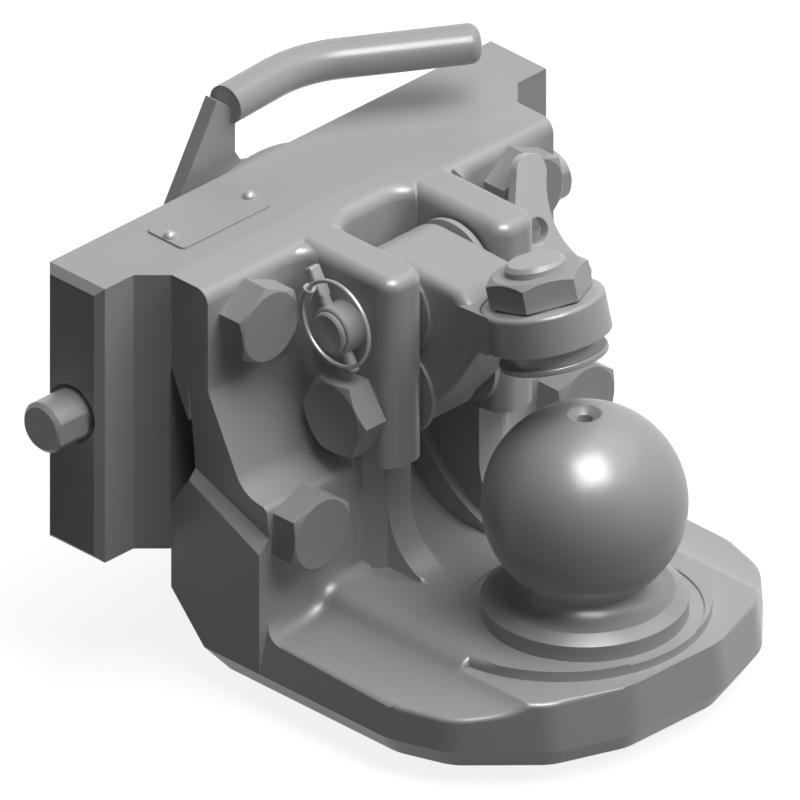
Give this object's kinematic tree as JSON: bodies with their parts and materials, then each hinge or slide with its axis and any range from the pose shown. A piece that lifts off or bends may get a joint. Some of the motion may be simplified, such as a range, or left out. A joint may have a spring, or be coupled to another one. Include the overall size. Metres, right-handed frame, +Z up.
{
  "type": "tractor ball hitch",
  "caption": "Heavy cast ball hitch on a slide plate for a tractor's ladder frame, with a bar handle that draws the locking bolts and a hinged hold-down over the ball.",
  "frame": {"origin": "on the common axis of the two locking bolts, at mid-width and mid-thickness of the slide plate's tongue", "axes": "+Z up along the ladder frame, -Y from the slide plate towards the ball, X across the hitch; seen from the ball end, +X is to the right"},
  "size_m": [0.28, 0.2469, 0.204],
  "materials": {
    "plate_steel": "satin grey paint on machined steel plate",
    "bracket_casting": "semi-gloss grey paint over a fettled casting",
    "arm_casting": "semi-gloss grey paint over a forging",
    "lever_steel": "satin grey paint",
    "bolt_steel": "plain bolt steel, lightly oiled",
    "ball_steel": "turned and polished",
    "turned_steel": "turned bright steel",
    "zinc_plate": "zinc-plated sheet",
    "spring_wire": "drawn spring wire",
    "nameplate_metal": "bare plate, painted over",
    "rivet_metal": "drive rivet"
  },
  "bodies": {
    "root": {"slide_plate": "plate_steel", "pivot_bolt": "bolt_steel", "pivot_washer": "bolt_steel", "nameplate": "nameplate_metal", "nameplate_rivets": "rivet_metal", "bracket": "bracket_casting", "mounting_bolts": "bolt_steel", "ball_stud": "ball_steel", "stud_disc": "plate_steel", "stud_screw": "bolt_steel", "hinge_pin": "turned_steel", "grip_plate": "zinc_plate", "stop_bolt": "bolt_steel"},
    "handle": {"cam_disc": "plate_steel", "lever_plate": "lever_steel", "bar_handle": "lever_steel"},
    "bolt_left": {"locking_bolt_left": "turned_steel", "follower_left": "turned_steel"},
    "bolt_right": {"locking_bolt_right": "turned_steel", "follower_right": "turned_steel"},
    "hold_down": {"hold_down": "arm_casting", "clamp_nut": "bolt_steel"},
    "clamp": {"clamp_screw": "turned_steel"},
    "linch": {"linch_pin": "turned_steel"},
    "ring": {"linch_ring": "spring_wire"}
  },
  "joints": [
    {"name": "handle_turn", "type": "hinge", "parent": "root", "child": "handle", "pos_m": [0, 0, 0], "axis": [0, -1, 0], "range_deg": [0, 50]},
    {"name": "bolt_right_draw", "type": "slide", "parent": "root", "child": "bolt_right", "axis": [-1, 0, 0], "range_m": [0, 0.021]},
    {"name": "bolt_left_draw", "type": "slide", "parent": "root", "child": "bolt_left", "axis": [1, 0, 0], "range_m": [0, 0.021]},
    {"name": "hold_down_lift", "type": "hinge", "parent": "root", "child": "hold_down", "pos_m": [0, -0.0677, 0.0338], "axis": [-1, 0, 0], "range_deg": [0, 70]},
    {"name": "clamp_adjust", "type": "slide", "parent": "hold_down", "child": "clamp", "axis": [0, -0.2756, -0.9613], "range_m": [0, 0.008]},
    {"name": "linch_pull", "type": "slide", "parent": "root", "child": "linch", "axis": [0, 0.5299, 0.848], "range_m": [0, 0.036]},
    {"name": "ring_swing", "type": "hinge", "parent": "linch", "child": "ring", "pos_m": [-0.055, -0.05982, 0.0496], "axis": [0, 0.3935, -0.9193], "range_deg": [0, 25]}
  ],
  "couplings": [
    {"joint": "bolt_right_draw", "follows": "handle_turn", "m_per_rad": 0.024064},
    {"joint": "bolt_left_draw", "follows": "handle_turn", "m_per_rad": 0.024064}
  ]
}
